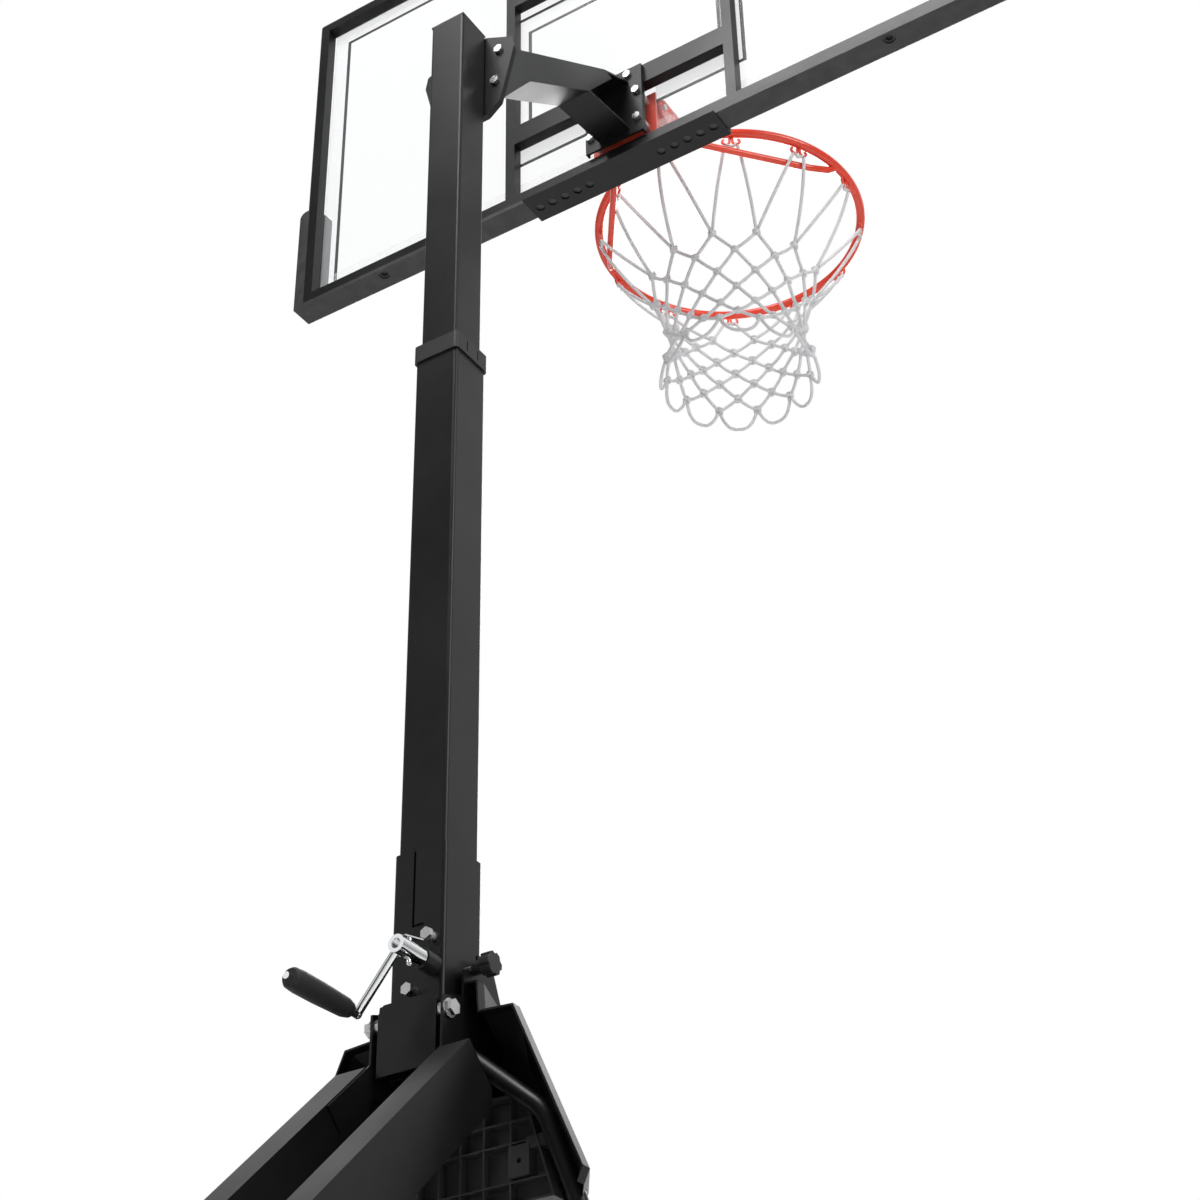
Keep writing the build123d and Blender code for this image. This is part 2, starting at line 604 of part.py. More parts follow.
def arm_bolts():
    """Bolts from the pole to the arm, and from the mount plate to the lower crossbar."""
    pieces = []
    for sign in (-1, 1):
        for x, z in ARM_BOLTS:
            pieces.append(hex_bolt((sign * x, EAR_BACK, z), (0, -1, 0), 8, 22))
            pieces.append(hex_nut((sign * x, EAR_BACK - 10, z), (0, -1, 0), 8))
        for x, z in BAR_BOLTS:
            pieces.append(hex_bolt((sign * x, MOUNT_BACK, z), (0, -1, 0), 8, 14))
            pieces.append(ring((sign * x, MOUNT_FACE, z), (0, -1, 0), 8, 4.3, MOUNT_FACE - BOARD_BACK))
    return pieces


# ---- board -------------------------------------------------------------------------------------
CROSSBARS = {"low": (3050.0, 3092.0), "high": (3400.0, 3442.0)}


def bar(x, z, wall=1.6):
    """Thin-walled tube of the board frame."""
    deep = (BOARD_BACK - BAR_DEPTH, BOARD_BACK)
    outer = block(x, deep, z)
    hollow = (deep[0] + wall, deep[1] - wall)
    if x[1] - x[0] > z[1] - z[0]:
        return outer - block(x, hollow, (z[0] + wall, z[1] - wall))
    return outer - block((x[0] + wall, x[1] - wall), hollow, z)


def frame_rails():
    rails = []
    for low in (BOARD_LOW, BOARD_HIGH - BAR):
        rails.append(bar((-BOARD_HALF, BOARD_HALF), (low, low + BAR)))
    return rails


def frame_stiles():
    return both_sides(bar((BOARD_HALF - BAR, BOARD_HALF), (BOARD_LOW + BAR, BOARD_HIGH - BAR)))


def frame_uprights():
    return both_sides(bar((UPRIGHT_IN, UPRIGHT_IN + BAR), (BOARD_LOW + BAR, BOARD_HIGH - BAR)))


def crossbars():
    bars = []
    for low, high in CROSSBARS.values():
        bars.append(bar((-UPRIGHT_IN, UPRIGHT_IN), (low, high)))
    low_bar = bars[0]
    for x, z in BAR_BOLTS:
        for sign in (-1, 1):
            low_bar -= bore((sign * x, BOARD_BACK, z), Y, 4.2, 18)
    bars[0] = low_bar
    return bars


def acrylic_panel():
    pane = block((-BOARD_HALF, BOARD_HALF), (ACRYLIC_FRONT, ACRYLIC_BACK), (BOARD_LOW, BOARD_HIGH))
    for x, z in RIM_BOLTS:
        for sign in (-1, 1):
            pane -= bore((sign * x, ACRYLIC_BACK, z), Y, 4.6, 30)
    return pane


TRIM = 2.0
TRIM_LIP = 12.0
PAD_THICK = 21.0                               # pad beside the frame
PAD_LOW = 2901.0
PAD_SIDE_TOP = 3136.0
PAD_FACE = -498.0


def edge_trim():
    """Three folded strips around the pane: top and both sides above the pads."""
    deep = (ACRYLIC_FRONT - TRIM, BOARD_BACK)
    lip = (ACRYLIC_FRONT - TRIM, ACRYLIC_FRONT)
    top = block((-BOARD_HALF, BOARD_HALF), deep, (BOARD_HIGH, BOARD_HIGH + TRIM))
    top += block((-BOARD_HALF, BOARD_HALF), lip, (BOARD_HIGH - TRIM_LIP, BOARD_HIGH))
    side = block((BOARD_HALF, BOARD_HALF + TRIM), deep, (PAD_SIDE_TOP + 1, BOARD_HIGH))
    side += block((BOARD_HALF - TRIM_LIP, BOARD_HALF), lip, (PAD_SIDE_TOP + 1, BOARD_HIGH - TRIM_LIP))
    return [top] + both_sides(side)


def board_pads():
    """Moulded pads: one along the bottom edge and one up each lower corner."""
    half = BOARD_HALF + PAD_THICK
    bottom = block((-half, half), (PAD_FACE, BOARD_BACK), (PAD_LOW, BOARD_LOW))
    bottom += block((-half, half), (PAD_FACE, ACRYLIC_FRONT), (BOARD_LOW, BOARD_LOW + 36))
    bottom = fillet(bottom.edges().filter_by(Axis.X).sort_by(Axis.Y)[0:2], 6)
    side = block((BOARD_HALF, half), (PAD_FACE, BOARD_BACK), (BOARD_LOW, PAD_SIDE_TOP))
    side += block((BOARD_HALF - 16, BOARD_HALF), (PAD_FACE, ACRYLIC_FRONT), (BOARD_LOW + 36, PAD_SIDE_TOP))
    side -= block((BOARD_HALF - 16, half), (PAD_FACE, ACRYLIC_FRONT), (BOARD_LOW, BOARD_LOW + 36))
    top_edges = side.edges().filter_by(Axis.Y).sort_by(Axis.Z)[-2:]
    side = fillet(top_edges.sort_by(Axis.X)[-1], 14)
    for x in (-492, 492):
        bottom -= bore((x, -465, PAD_LOW), Z, 10, 5)
        bottom -= bore((x, -465, PAD_LOW), Z, 6, 14)
    return [bottom] + both_sides(side)


PLATE_ROW = (70.0, 24.8)                       # first hole and hole spacing of the bottom plate


def bottom_plate():
    """Pressed steel strip under the board with two rows of holes."""
    plate = block((-186, 186), (-503, -442), (PAD_LOW - 3, PAD_LOW))
    plate += block((-186, 186), (-503, -500), (PAD_LOW, PAD_LOW + 8))
    for k in range(5):
        for sign in (-1, 1):
            plate -= bore((sign * (PLATE_ROW[0] + k * PLATE_ROW[1]), -474, PAD_LOW), Z, 7.5, 30)
    return plate


# ---- ring assembly -----------------------------------------------------------------------------
SHELF = (2988.0, 2992.0)
SPRING_X, SPRING_Y = 28.0, -530.0
PLATE_UNDER, PLATE_OVER = 3036.0, 3040.0       # horizontal plate under the ring


def rim_bracket():
    """Fixed bracket on the front of the pane: back plate, two cheeks, spring shelf."""
    back = (ACRYLIC_FRONT - 4, ACRYLIC_FRONT)
    body = block((-62, 62), back, (2950, 3044))
    cheek = [(back[0], 2980), (-560, 2988), (-560, 2996), (-508, 3012), (-508, 3030), (back[0], 3030)]
    for side in both_sides(sheet_x(cheek, (54, 58))):
        body += side
    body += block((-54, 54), (-560, back[0]), SHELF)
    body -= bore((0, HINGE_Y, HINGE_Z), X, 5.06, 200)
    for x, z in RIM_BOLTS:
        for sign in (-1, 1):
            body -= bore((sign * x, ACRYLIC_FRONT, z), Y, 4.3, 30)
    return body


def rim_bolts():
    """Through bolts of the ring bracket with their nuts and spacer tubes."""
    pieces = []
    for sign in (-1, 1):
        for x, z in RIM_BOLTS:
            seat = (sign * x, ACRYLIC_FRONT - 4, z)
            pieces.append(hex_bolt(seat, Y, 8, 46))
            pieces.append(hex_nut((sign * x, MOUNT_BACK, z), Y, 8))
            pieces.append(ring((sign * x, ACRYLIC_BACK, z), Y, 6.5, 4.3, MOUNT_FACE - ACRYLIC_BACK))
    return pieces


def rim_springs():
    """Two breakaway springs, each a stack of touching coils around a hollow middle."""
    springs = []
    for sign in (-1, 1):
        low, high = SHELF[1], PLATE_UNDER
        coil = ring((sign * SPRING_X, SPRING_Y, low), Z, 10, 7, high - low)
        turns = 8
        for k in range(1, turns):
            z = low + (high - low) * k / turns
            coil -= Pos(sign * SPRING_X, SPRING_Y, z) * Torus(10, 1.2)
        springs.append(coil)
    return springs


def rim_plate():
    """Hinged plate that carries the ring."""
    outline = [(-67, -490), (67, -490), (67, -560), (50, -600), (-50, -600), (-67, -560)]
    face = Plane.XY.offset(PLATE_UNDER) * Polygon(*outline, align=None)
    plate = extrude(face, PLATE_OVER - PLATE_UNDER, dir=(0, 0, 1))
    cheek = [(-490, PLATE_UNDER), (-490, 3012), (-545, 2978), (-560, 2978), (-575, PLATE_UNDER)]
    for side in both_sides(sheet_x(cheek, (60, 64))):
        plate += side
    return plate - bore((0, HINGE_Y, HINGE_Z), X, 5.06, 200)


def ring_body():
    return Pos(0, -REACH, RIM_HEIGHT) * Torus(RING_RADIUS, RING_ROD / 2)


BRACE_R = 6.0


def rim_brace():
    """Side rod from the hinged plate to the underside of the ring, on the +X side."""
    points = [(60, -542, 2990), (206, -757, 3020), (224, -791, 3033), (233, -807, 3047)]
    path = FilletPolyline(*points, radius=14)
    start = Plane(origin=points[0], z_dir=Vector(*points[1]) - Vector(*points[0]))
    tube = sweep(start * Circle(BRACE_R), path=path)
    return tube - block((0, 64), (-600, -500), (2900, 3036)) - ring_body()


HOOKS = 12


def net_hook():
    """Double hook welded under the ring, at the ring's +X side before it is turned into place."""
    base = RIM_HEIGHT - RING_ROD / 2
    hook = Pos(RING_RADIUS - 3, 0, base - 1.5) * Box(6, 24, 5)
    for y in (-9, 9):
        hook += Pos(RING_RADIUS - 3, y, base - 8) * Rot(0, 90, 0) * Torus(6, 2)
    return Pos(0, -REACH, 0) * (hook - Pos(0, 0, RIM_HEIGHT) * Torus(RING_RADIUS, RING_ROD / 2))


def net_hooks():
    hooks = []
    axis = Axis((0, -REACH, 0), (0, 0, 1))
    for k in range(HOOKS):
        hooks.append(net_hook().rotate(axis, 360 / HOOKS * k))
    return hooks


NET = [(202, 2985), (152, 2908), (128, 2840), (126, 2800), (126, 2752), (134, 2728), (142, 2695)]
NET_THICK = 5.0


def net():
    """Closed funnel that stands for the knotted net: its outer shape and its real openings."""
    outer = [(r, 0, z) for r, z in NET]
    inner = [(r - NET_THICK, 0, z) for r, z in reversed(NET)]
    face = make_face(Polyline(*outer, *inner, close=True))
    return Pos(0, -REACH, 0) * revolve(face, Axis.Z)


# ---- assembly ----------------------------------------------------------------------------------
add("ballast_tank", tank())
add("fill_cap", fill_cap())
add("front_beam", front_beam(), *both_sides(wheel_bracket()))
add("wheel_hub_left", wheel_hub(-1))
add("wheel_tyre_left", wheel_tyre(-1))
add("wheel_hub_right", wheel_hub(1))
add("wheel_tyre_right", wheel_tyre(1))
add("pole_cradle", cradle())
add("cradle_shield", *both_sides(shield()))
add("leg_tubes", *both_sides(leg()))
add("front_panel", front_panel())
add("rear_struts", *both_sides(strut()))
add("strut_feet", *both_sides(strut_foot()))
add("strut_brace", strut_brace())
add("base_bolts", *base_bolts())
add("stop_pad", block((-24, 24), (-SLEEVE / 2 - 3.5, -SLEEVE / 2 - 0.2), (1268, 1284)))
add("pivot_bolt", hex_bolt((-WALL_OUT - 2.2, PIVOT_Y, PIVOT_Z), X, 10, 2 * WALL_OUT + 14))
add("pivot_hardware", *pivot_hardware())

add("pole_sleeve", pole_sleeve())
add("foot_wrap", foot_wrap())
add("pole_lower_tube", lower_tube())
add("gearbox_housing", gearbox_housing())
add("gearbox_bolts", *gearbox_bolts())
add("crank_boss", ring((CRANK_X, SLEEVE_BACK, CRANK_Z), Y, 12, 6.06, 23))
add("thrust_bearing", thrust_bearing())
add("pole_collar", collar())
add("lock_nut", hex_nut((WALL_OUT + 0.4, LOCK_Y, LOCK_Z), X, 8))
add("lock_bolt", rod((-74, LOCK_Y, LOCK_Z), (60, LOCK_Y, LOCK_Z), 4))
add("lock_knob", lock_knob())

add("lead_screw", lead_screw())
add("screw_gear", screw_gear())
add("crank_shaft", crank_shaft())
add("crank_handle", crank_handle())
add("release_pin", release_pin())
add("crank_grip", grip())

add("pole_upper_tube", square_tube(UPPER_TUBE, TUBE_WALL, (NUT_Z + 8, POLE_TOP), 4))
add("lift_nut", lift_nut())
add("glide_pads", *glide_pads())
add("top_cap", block((-28.5, 28.5), (-28.5, 28.5), (POLE_TOP, POLE_TOP + 3))
    + rounded_block((-26.2, 26.2), (-26.2, 26.2), (POLE_TOP - 14, POLE_TOP), 2.5))
add("clamp_plate", clamp_plate())
add("extension_arm", extension_arm())
add("board_mount_plate", mount_plate())
add("arm_bolts", *arm_bolts())

add("frame_rails", *frame_rails())
add("frame_stiles", *frame_stiles())
add("frame_uprights", *frame_uprights())
add("frame_crossbars", *crossbars())
add("acrylic_panel", acrylic_panel())
add("edge_trim", *edge_trim())
add("board_pads", *board_pads())
add("bottom_plate", bottom_plate())
add("rim_bracket", rim_bracket())
add("rim_bolts", *rim_bolts())
add("rim_springs", *rim_springs())

add("hinge_pin", rod((-70, HINGE_Y, HINGE_Z), (70, HINGE_Y, HINGE_Z), 5))
add("rim_plate", rim_plate())
add("rim_ring", ring_body())
add("rim_braces", *both_sides(rim_brace()))
add("net_hooks", *net_hooks())
add("net", net())

for node, shape in PARTS.items():
    export_step(shape, "parts/" + node + ".step")
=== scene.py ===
import json
import math
import random

import bpy
from mathutils import Matrix, Vector


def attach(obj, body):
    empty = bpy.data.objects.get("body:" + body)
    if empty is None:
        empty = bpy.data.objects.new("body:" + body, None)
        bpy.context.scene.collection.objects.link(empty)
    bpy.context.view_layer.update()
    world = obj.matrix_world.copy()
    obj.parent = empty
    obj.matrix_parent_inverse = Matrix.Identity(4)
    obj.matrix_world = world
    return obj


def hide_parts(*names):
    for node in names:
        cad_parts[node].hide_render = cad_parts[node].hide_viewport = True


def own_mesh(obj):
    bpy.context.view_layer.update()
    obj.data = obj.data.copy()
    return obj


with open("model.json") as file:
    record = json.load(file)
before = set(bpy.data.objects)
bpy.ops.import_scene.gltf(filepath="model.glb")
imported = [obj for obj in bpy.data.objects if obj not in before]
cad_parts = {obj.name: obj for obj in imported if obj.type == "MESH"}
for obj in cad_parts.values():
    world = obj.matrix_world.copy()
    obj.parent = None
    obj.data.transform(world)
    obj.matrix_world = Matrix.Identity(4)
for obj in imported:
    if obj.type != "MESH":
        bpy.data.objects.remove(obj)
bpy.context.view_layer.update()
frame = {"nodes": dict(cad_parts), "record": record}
random.seed(7)

RING_Y = -0.8385                       # ring axis, in front of the pole
RING_R = 0.2365                        # middle of the ring's bar
UP = Vector((0, 0, 1))


# ---- materials ---------------------------------------------------------------------------------
def principled(name):
    """New material, its node tree and its Principled shader."""
    mat = bpy.data.materials.new(name)
    mat.use_nodes = True
    tree = mat.node_tree
    shader = tree.nodes["Principled BSDF"]
    return mat, tree, shader


def noise(tree, coords, scale, detail=3.0, stretch=(1, 1, 1)):
    """Noise value between 0 and 1; stretch scales the coordinates first."""
    mapping = tree.nodes.new("ShaderNodeMapping")
    mapping.inputs["Scale"].default_value = stretch
    tex = tree.nodes.new("ShaderNodeTexNoise")
    tex.inputs["Scale"].default_value = scale
    tex.inputs["Detail"].default_value = detail
    tree.links.new(coords, mapping.inputs["Vector"])
    tree.links.new(mapping.outputs["Vector"], tex.inputs["Vector"])
    return tex.outputs["Fac"]


def spread(tree, value, low, high):
    """Map the middle of a noise value's range onto low to high."""
    node = tree.nodes.new("ShaderNodeMapRange")
    node.inputs["From Min"].default_value = 0.3
    node.inputs["From Max"].default_value = 0.7
    node.inputs["To Min"].default_value = low
    node.inputs["To Max"].default_value = high
    tree.links.new(value, node.inputs["Value"])
    return node.outputs["Result"]


def finish_of(name, color, rough, metal=0.0, grain=700, grain_depth=0.00008, vary=0.12, rough_vary=0.06,
              coat=0.0, stretch=(1, 1, 1), patch=5.0, specular=0.5, dust=0.0, dust_color=(0.4, 0.4, 0.4)):
    """Surface with a fine grain, a slow change of colour and roughness, and some dust on it."""
    mat, tree, shader = principled(name)
    coords = tree.nodes.new("ShaderNodeTexCoord").outputs["Object"]
    slow = noise(tree, coords, patch, 4.0)
    fine = noise(tree, coords, grain, 2.0, stretch)
    mix = tree.nodes.new("ShaderNodeMix")
    mix.data_type = "RGBA"
    mix.inputs["A"].default_value = [c * (1 - vary) for c in color[:3]] + [1]
    mix.inputs["B"].default_value = [min(1, c * (1 + vary)) for c in color[:3]] + [1]
    tree.links.new(spread(tree, slow, 0, 1), mix.inputs["Factor"])
    result = mix.outputs["Result"]
    if dust:
        specks = noise(tree, coords, 38, 6.0)
        over = tree.nodes.new("ShaderNodeMix")
        over.data_type = "RGBA"
        over.inputs["B"].default_value = list(dust_color) + [1]
        tree.links.new(spread(tree, specks, 0, dust), over.inputs["Factor"])
        tree.links.new(result, over.inputs["A"])
        result = over.outputs["Result"]
    tree.links.new(result, shader.inputs["Base Color"])
    tree.links.new(spread(tree, slow, rough - rough_vary, rough + rough_vary), shader.inputs["Roughness"])
    bump = tree.nodes.new("ShaderNodeBump")
    bump.inputs["Strength"].default_value = 1.0
    bump.inputs["Distance"].default_value = grain_depth
    tree.links.new(fine, bump.inputs["Height"])
    tree.links.new(bump.outputs["Normal"], shader.inputs["Normal"])
    shader.inputs["Metallic"].default_value = metal
    shader.inputs["Coat Weight"].default_value = coat
    shader.inputs["Coat Roughness"].default_value = 0.2
    shader.inputs["Specular IOR Level"].default_value = specular
    return mat


def acrylic():
    """Clear sheet with a faint grey tint and fine wiping marks."""
    mat, tree, shader = principled("clear_acrylic")
    coords = tree.nodes.new("ShaderNodeTexCoord").outputs["Object"]
    marks = noise(tree, coords, 22, 5.0, (1, 1, 6))
    tree.links.new(spread(tree, marks, 0.03, 0.09), shader.inputs["Roughness"])
    haze = noise(tree, coords, 3.0, 4.0)
    tree.links.new(spread(tree, haze, 0.05, 0.08), shader.inputs["Alpha"])
    shader.inputs["Base Color"].default_value = (0.78, 0.82, 0.84, 1)
    shader.inputs["IOR"].default_value = 1.49
    return mat


def braid():
    """White nylon cord: diagonal strands along the cord, with painted shade darkening the grooves between
    them, and slightly soiled patches.
    """
    mat, tree, shader = principled("braided_nylon")
    nodes, links = tree.nodes, tree.links
    coord = nodes.new("ShaderNodeTexCoord")
    mapping = nodes.new("ShaderNodeMapping")
    mapping.inputs["Scale"].default_value = (3.0, 260.0, 1.0)
    wave = nodes.new("ShaderNodeTexWave")
    wave.bands_direction = "DIAGONAL"
    wave.inputs["Scale"].default_value = 1.0
    wave.inputs["Distortion"].default_value = 0.6
    links.new(coord.outputs["UV"], mapping.inputs["Vector"])
    links.new(mapping.outputs["Vector"], wave.inputs["Vector"])
    fuzz = noise(tree, coord.outputs["Object"], 1500, 2.0)
    add = nodes.new("ShaderNodeMath")
    add.operation = "MULTIPLY_ADD"
    add.inputs[1].default_value = 0.4
    links.new(fuzz, add.inputs[0])
    links.new(wave.outputs["Fac"], add.inputs[2])
    bump = nodes.new("ShaderNodeBump")
    bump.inputs["Strength"].default_value = 0.9
    bump.inputs["Distance"].default_value = 0.0007
    links.new(add.outputs["Value"], bump.inputs["Height"])
    links.new(bump.outputs["Normal"], shader.inputs["Normal"])
    # Painted shade: the colour follows the strand waves that also drive the bump, darker grey in the grooves
    # and white on the strand tops.
    mix = nodes.new("ShaderNodeMix")
    mix.data_type = "RGBA"
    mix.inputs["A"].default_value = (0.78, 0.79, 0.81, 1)
    mix.inputs["B"].default_value = (0.94, 0.94, 0.95, 1)
    links.new(wave.outputs["Fac"], mix.inputs["Factor"])
    soil = nodes.new("ShaderNodeMix")
    soil.data_type = "RGBA"
    soil.inputs["B"].default_value = (0.66, 0.66, 0.66, 1)
    links.new(mix.outputs["Result"], soil.inputs["A"])
    links.new(spread(tree, noise(tree, coord.outputs["Object"], 14, 4.0), 0.0, 0.3), soil.inputs["Factor"])
    links.new(soil.outputs["Result"], shader.inputs["Base Color"])
    shader.inputs["Roughness"].default_value = 0.85
    shader.inputs["Sheen Weight"].default_value = 0.3
    return mat


MATS = {
    "tank_plastic": finish_of("tank_plastic", (0.02, 0.02, 0.022), 0.55, grain=420, grain_depth=0.0002,
                              dust=0.10, dust_color=(0.2, 0.19, 0.17)),
    "cap_plastic": finish_of("cap_plastic", (0.028, 0.028, 0.03), 0.35, grain=500),
    "black_steel": finish_of("black_powder_coat", (0.005, 0.005, 0.0055), 0.38, grain=900,
                             grain_depth=0.00005, specular=0.32, dust=0.006),
    "grey_plastic": finish_of("grey_polypropylene", (0.035, 0.036, 0.038), 0.5, grain=600,
                              grain_depth=0.00012),
    "black_plastic": finish_of("black_nylon", (0.011, 0.011, 0.012), 0.48, grain=650, grain_depth=0.0001),
    "grip_rubber": finish_of("grip_rubber", (0.012, 0.012, 0.012), 0.62, grain=800, grain_depth=0.00012),
    "tyre_rubber": finish_of("tyre_rubber", (0.018, 0.018, 0.018), 0.75, grain=500, grain_depth=0.0002,
                             dust=0.22, dust_color=(0.16, 0.15, 0.13)),
    "wheel_plastic": finish_of("wheel_plastic", (0.05, 0.05, 0.052), 0.5, grain=600),
    "zinc": finish_of("zinc_plate", (0.62, 0.63, 0.62), 0.3, metal=1.0, grain=1200, vary=0.1, rough_vary=0.1,
                      patch=60),
    "chrome": finish_of("chrome_plate", (0.80, 0.81, 0.82), 0.1, metal=1.0, grain=300, grain_depth=0.00002,
                        vary=0.03, rough_vary=0.05, patch=30),
    "turned_steel": finish_of("turned_steel", (0.42, 0.43, 0.44), 0.32, metal=1.0, grain=300,
                              stretch=(1, 1, 12)),
    "bronze": finish_of("bronze", (0.55, 0.36, 0.16), 0.36, metal=1.0, grain=400),
    "acrylic": acrylic(),
    "pad_foam": finish_of("pad_skin", (0.02, 0.02, 0.022), 0.5, grain=300, grain_depth=0.0002, dust=0.05),
    "rim_red": finish_of("red_powder_coat", (0.82, 0.055, 0.02), 0.27, grain=500, grain_depth=0.00008,
                         vary=0.1, coat=0.4),
    "spring_steel": finish_of("spring_steel", (0.2, 0.2, 0.21), 0.35, metal=1.0, grain=500),
    "net_cord": braid(),
}
LINE_BLACK = finish_of("screen_print_black", (0.02, 0.02, 0.022), 0.45, grain=800, grain_depth=0.00002)
LINE_WHITE = finish_of("screen_print_white", (0.84, 0.85, 0.86), 0.5, grain=800, grain_depth=0.00002,
                       vary=0.03)
LINE_WHITE.node_tree.nodes["Principled BSDF"].inputs["Alpha"].default_value = 0.14

for part in frame["record"]["subparts"]:
    for slot in frame["nodes"][part["node"]].material_slots:
        slot.material = MATS[part["material_slot"]]


# ---- mesh helpers ------------------------------------------------------------------------------
class Builder:
    """Collects tubes and boxes into one mesh with texture coordinates."""

    def __init__(self):
        self.verts, self.faces, self.uvs = [], [], []

    def tube(self, points, radius, sides):
        """Open tube of one radius along the points, closed by a flat face at each end."""
        points = [Vector(p) for p in points]
        count = len(points)
        base = len(self.verts)
        normal = None
        along = 0.0
        lengths = []
        for i, p in enumerate(points):
            ahead = points[i + 1] if i + 1 < count else p
            behind = points[i - 1] if i > 0 else p
            tangent = (ahead - behind).normalized()
            if normal is None:
                side = UP if abs(tangent.z) < 0.9 else Vector((1, 0, 0))
                normal = (side - tangent * side.dot(tangent)).normalized()
            else:
                normal = (normal - tangent * normal.dot(tangent)).normalized()
                along += (p - points[i - 1]).length
            lengths.append(along)
            other = tangent.cross(normal)
            for k in range(sides):
                a = 2 * math.pi * k / sides
                self.verts.append(p + (normal * math.cos(a) + other * math.sin(a)) * radius)
        for i in range(count - 1):
            j = i + 1
            v0, v1 = lengths[i], lengths[j]
            for k in range(sides):
                m = (k + 1) % sides
                self.faces.append((base + i * sides + k, base + i * sides + m,
                                   base + j * sides + m, base + j * sides + k))
                u0, u1 = k / sides, (k + 1) / sides
                self.uvs += [(u0, v0), (u1, v0), (u1, v1), (u0, v1)]
        for start, flip in ((base, True), (base + (count - 1) * sides, False)):
            loop = list(range(start, start + sides))
            self.faces.append(tuple(reversed(loop)) if flip else tuple(loop))
            self.uvs += [(0, 0)] * sides

    def box(self, low, high):
        """Box between two corners."""
        base = len(self.verts)
        for z in (low[2], high[2]):
            for x, y in ((low[0], low[1]), (high[0], low[1]), (high[0], high[1]), (low[0], high[1])):
                self.verts.append(Vector((x, y, z)))
        for f in ((3, 2, 1, 0), (4, 5, 6, 7), (0, 1, 5, 4), (1, 2, 6, 5), (2, 3, 7, 6), (3, 0, 4, 7)):
            self.faces.append(tuple(base + i for i in f))
            self.uvs += [(0, 0), (1, 0), (1, 1), (0, 1)]

    def make(self, name, material, body, smooth=True):
        """Turn what was collected into one piece that rides a body."""
        mesh = bpy.data.meshes.new(name)
        mesh.from_pydata([tuple(v) for v in self.verts], [], self.faces)
        layer = mesh.uv_layers.new(name="cord")
        for i, uv in enumerate(self.uvs):
            layer.data[i].uv = uv
        if smooth:
            for p in mesh.polygons:
                p.use_smooth = len(p.vertices) == 4
        mesh.materials.append(material)
        obj = bpy.data.objects.new(name, mesh)
        bpy.context.scene.collection.objects.link(obj)
        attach(obj, body)
        return obj


# ---- printed lines on the board ----------------------------------------------------------------
FACE_Y = -0.476                        # front face of the acrylic
PRINT = 0.0004                         # thickness of the print
LINE = 0.007                           # width of a black line
GAP = 0.0635                           # half of the gap in the middle of the lowest strips


def strip(builder, x, z):
    """Printed bar over a range of x and z."""
    builder.box((x[0], FACE_Y - PRINT, z[0]), (x[1], FACE_Y, z[1]))


def frame_lines(builder, half, low, high, width, gap=None):
    """Four strips that make a rectangle; gap leaves out the middle of the lowest one."""
    if gap:
        strip(builder, (-half, -gap), (low, low + width))
        strip(builder, (gap, half), (low, low + width))
    else:
        strip(builder, (-half, half), (low, low + width))
    strip(builder, (-half, half), (high - width, high))
    strip(builder, (-half, -half + width), (low + width, high - width))
    strip(builder, (half - width, half), (low + width, high - width))


black = Builder()
frame_lines(black, 0.6165, 2.9465, 3.5775, LINE, gap=GAP)
frame_lines(black, 0.2375, 3.0175, 3.3885, LINE, gap=GAP)
frame_lines(black, 0.1945, 3.0605, 3.3475, LINE)
black.make("board_black_lines", LINE_BLACK, "upper", smooth=False)
white = Builder()
frame_lines(white, 0.6465, 2.9465, 3.6105, 0.0285, gap=GAP)
frame_lines(white, 0.2300, 3.0250, 3.3810, 0.0350, gap=GAP)
white.make("board_white_bands", LINE_WHITE, "upper", smooth=False)


# ---- ring hooks --------------------------------------------------------------------------------
HOOKS = 12
HOOK_ANGLES = [2 * math.pi * k / HOOKS for k in range(HOOKS)]
HOOK_R = RING_R - 0.002
HOOK_WIRE = 0.0023
CURL = 0.0062                          # radius of one curl of a hook
CURL_Z = 3.0305


def around(angle, radius, z, shift=0.0):
    """Point at an angle around the ring axis, moved sideways by shift."""
    x = radius * math.cos(angle) - shift * math.sin(angle)
    y = radius * math.sin(angle) + shift * math.cos(angle)
    return Vector((x, RING_Y + y, z))


hooks = Builder()
for angle in HOOK_ANGLES:
    for side in (-1, 1):
        path = []
        for step in range(17):
            a = math.radians(125 + 235 * step / 16)
            path.append(around(angle, HOOK_R, CURL_Z + CURL * math.sin(a),
                               side * (0.0088 - CURL * math.cos(a))))
        path.append(around(angle, HOOK_R, 3.035, side * 0.0024))
        path.append(around(angle, HOOK_R, 3.0415, side * 0.0020))
        hooks.tube(path, HOOK_WIRE, 8)
hook_piece = hooks.make("ram_horn_hooks", MATS["rim_red"], "rim")
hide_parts("net_hooks")


# ---- net ---------------------------------------------------------------------------------------
CORD = 0.0029                          # radius of the cord
HOOK_TURN_Z = 3.0225                   # height of the cord where it turns at a hook
ROWS = [(2.906, 0.1480), (2.872, 0.1370), (2.838, 0.1260), (2.806, 0.1190),
        (2.776, 0.1150), (2.750, 0.1190), (2.728, 0.1290)]     # height and radius of each row of knots


def outward_at(point):
    """Level direction away from the ring axis."""
    return Vector((point.x, point.y - RING_Y, 0)).normalized()


def span(start, end, sag, bow, steps=7):
    """Cord between two knots: it sags a little and bows out from the net's axis."""
    outward = outward_at((start + end) / 2)
    points = []
    for i in range(steps + 1):
        t = i / steps
        lift = 4 * t * (1 - t)
        points.append(start.lerp(end, t) + outward * bow * lift - UP * (sag * lift))
    return points


